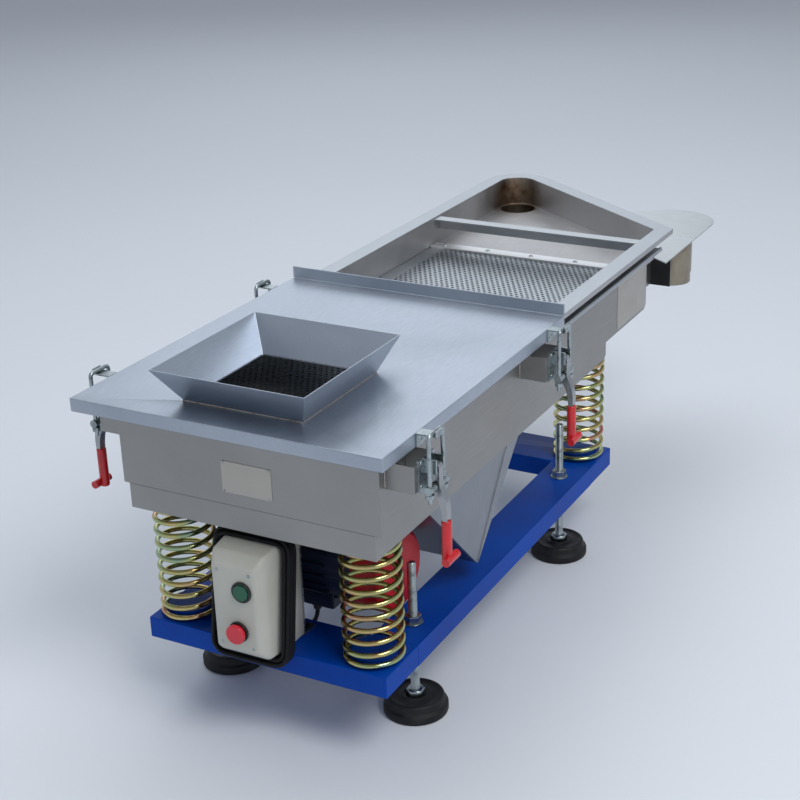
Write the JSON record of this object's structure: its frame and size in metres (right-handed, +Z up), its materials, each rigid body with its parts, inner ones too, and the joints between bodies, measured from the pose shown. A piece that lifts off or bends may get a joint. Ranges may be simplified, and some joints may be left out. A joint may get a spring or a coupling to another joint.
{
  "type": "vibrating sieve",
  "caption": "Linear vibrating sieve: a covered screen tray and a lower tray on four coil springs, shaken by a motor with eccentric weights, with two round outlets.",
  "frame": {"origin": "on the floor, under the middle of the machine's overall length and width", "axes": "+X along the material's flow towards the outlets, +Y to its left, +Z up"},
  "size_m": [1.453, 0.6, 0.579],
  "materials": {
    "blue_paint": "painted",
    "zinc_plate": "satin",
    "stainless": "brushed",
    "black_rubber": "matte",
    "motor_iron": "painted",
    "bearing_steel": "polished",
    "shaft_steel": "machined",
    "red_paint": "painted",
    "motor_aluminium": "painted",
    "grey_plastic": "satin",
    "black_plastic": "satin",
    "green_plastic": "satin",
    "red_plastic": "gloss",
    "cord_rubber": "matte",
    "spring_zinc": "zinc plated, yellow",
    "latch_satin": "satin"
  },
  "bodies": {
    "base": {"base_rail_left": "blue_paint", "base_rail_right": "blue_paint", "base_cross_front": "blue_paint", "base_cross_rear": "blue_paint", "foot_nuts": "zinc_plate", "switch_bracket": "zinc_plate", "switch_box_back": "grey_plastic", "switch_box_cover": "grey_plastic", "button_bezels": "black_plastic", "cord_glands": "black_plastic", "supply_cord_coil": "cord_rubber", "supply_cord_tail": "cord_rubber", "supply_cord_end": "cord_rubber", "supply_plug": "black_plastic", "motor_cable": "cord_rubber", "spring_front_left": "spring_zinc", "spring_front_right": "spring_zinc", "spring_rear_left": "spring_zinc", "spring_rear_right": "spring_zinc"},
    "tray": {"bed_frame": "stainless", "lower_tray": "stainless", "tray_rails": "stainless", "lower_outlet_pipe": "stainless", "lower_outlet_lid": "stainless", "upper_tray": "stainless", "upper_outlet_pipe": "stainless", "screen_plate": "stainless", "screen_clamp_bar": "stainless", "tray_cross_bar": "stainless", "cover_gasket": "black_rubber", "cover": "stainless", "feed_hopper": "stainless", "latch_brackets": "stainless", "latch_plates": "zinc_plate", "latch_keepers": "zinc_plate", "motor_mount_plate": "stainless", "motor_mount_sides": "stainless", "motor_body": "motor_iron", "motor_bearings": "bearing_steel", "motor_end_cover_left": "red_paint", "motor_end_cover_right": "red_paint", "motor_terminal_box": "motor_aluminium"},
    "motor_rotor": {"motor_shaft": "shaft_steel", "eccentric_weights": "shaft_steel"},
    "start_key": {"start_button": "green_plastic"},
    "stop_key": {"stop_button": "red_plastic"},
    "foot_front_left": {"foot_front_left": "black_rubber"},
    "foot_front_right": {"foot_front_right": "black_rubber"},
    "foot_rear_left": {"foot_rear_left": "black_rubber"},
    "foot_rear_right": {"foot_rear_right": "black_rubber"},
    "latch_front_left": {"latch_handle_front_left": "latch_satin"},
    "bolt_front_left": {"draw_bolt_front_left": "zinc_plate"},
    "latch_front_right": {"latch_handle_front_right": "latch_satin"},
    "bolt_front_right": {"draw_bolt_front_right": "zinc_plate"},
    "latch_rear_left": {"latch_handle_rear_left": "latch_satin"},
    "bolt_rear_left": {"draw_bolt_rear_left": "zinc_plate"},
    "latch_rear_right": {"latch_handle_rear_right": "latch_satin"},
    "bolt_rear_right": {"draw_bolt_rear_right": "zinc_plate"}
  },
  "joints": [
    {"name": "tray_throw", "type": "slide", "parent": "base", "child": "tray", "axis": [0.7071, 0, 0.7071], "range_m": [-0.004, 0.004], "stiffness_N_per_m": 120000, "springref_m": 0.00377, "deforming": ["spring_front_left", "spring_front_right", "spring_rear_left", "spring_rear_right", "motor_cable"]},
    {"name": "rotor_spin", "type": "hinge", "parent": "tray", "child": "motor_rotor", "pos_m": [-0.50047, 0, 0.229], "axis": [0, 1, 0], "continuous": true},
    {"name": "start_press", "type": "slide", "parent": "base", "child": "start_key", "axis": [1, 0, 0], "range_m": [0, 0.003], "stiffness_N_per_m": 600, "springref_m": -0.001},
    {"name": "stop_press", "type": "slide", "parent": "base", "child": "stop_key", "axis": [1, 0, 0], "range_m": [0, 0.003], "stiffness_N_per_m": 600, "springref_m": -0.001},
    {"name": "foot_front_left_level", "type": "slide", "parent": "base", "child": "foot_front_left", "axis": [0, 0, 1], "range_m": [-0.02, 0.03]},
    {"name": "foot_front_right_level", "type": "slide", "parent": "base", "child": "foot_front_right", "axis": [0, 0, 1], "range_m": [-0.02, 0.03]},
    {"name": "foot_rear_left_level", "type": "slide", "parent": "base", "child": "foot_rear_left", "axis": [0, 0, 1], "range_m": [-0.02, 0.03]},
    {"name": "foot_rear_right_level", "type": "slide", "parent": "base", "child": "foot_rear_right", "axis": [0, 0, 1], "range_m": [-0.02, 0.03]},
    {"name": "latch_front_left_swing", "type": "hinge", "parent": "tray", "child": "latch_front_left", "pos_m": [-0.6285, 0.275, 0.478], "axis": [1, 0, 0], "range_deg": [0, 100]},
    {"name": "bolt_front_left_swing", "type": "hinge", "parent": "latch_front_left", "child": "bolt_front_left", "pos_m": [-0.6285, 0.275, 0.452], "axis": [1, 0, 0], "range_deg": [-70, 0]},
    {"name": "latch_front_right_swing", "type": "hinge", "parent": "tray", "child": "latch_front_right", "pos_m": [-0.6285, -0.275, 0.478], "axis": [-1, 0, 0], "range_deg": [0, 100]},
    {"name": "bolt_front_right_swing", "type": "hinge", "parent": "latch_front_right", "child": "bolt_front_right", "pos_m": [-0.6285, -0.275, 0.452], "axis": [-1, 0, 0], "range_deg": [-70, 0]},
    {"name": "latch_rear_left_swing", "type": "hinge", "parent": "tray", "child": "latch_rear_left", "pos_m": [-0.1965, 0.275, 0.478], "axis": [1, 0, 0], "range_deg": [0, 100]},
    {"name": "bolt_rear_left_swing", "type": "hinge", "parent": "latch_rear_left", "child": "bolt_rear_left", "pos_m": [-0.1965, 0.275, 0.452], "axis": [1, 0, 0], "range_deg": [-70, 0]},
    {"name": "latch_rear_right_swing", "type": "hinge", "parent": "tray", "child": "latch_rear_right", "pos_m": [-0.1965, -0.275, 0.478], "axis": [-1, 0, 0], "range_deg": [0, 100]},
    {"name": "bolt_rear_right_swing", "type": "hinge", "parent": "latch_rear_right", "child": "bolt_rear_right", "pos_m": [-0.1965, -0.275, 0.452], "axis": [-1, 0, 0], "range_deg": [-70, 0]}
  ],
  "couplings": [
    {"joint": "bolt_front_left_swing", "follows": "latch_front_left_swing", "ratio": -0.66},
    {"joint": "bolt_front_right_swing", "follows": "latch_front_right_swing", "ratio": -0.66},
    {"joint": "bolt_rear_left_swing", "follows": "latch_rear_left_swing", "ratio": -0.66},
    {"joint": "bolt_rear_right_swing", "follows": "latch_rear_right_swing", "ratio": -0.66}
  ]
}
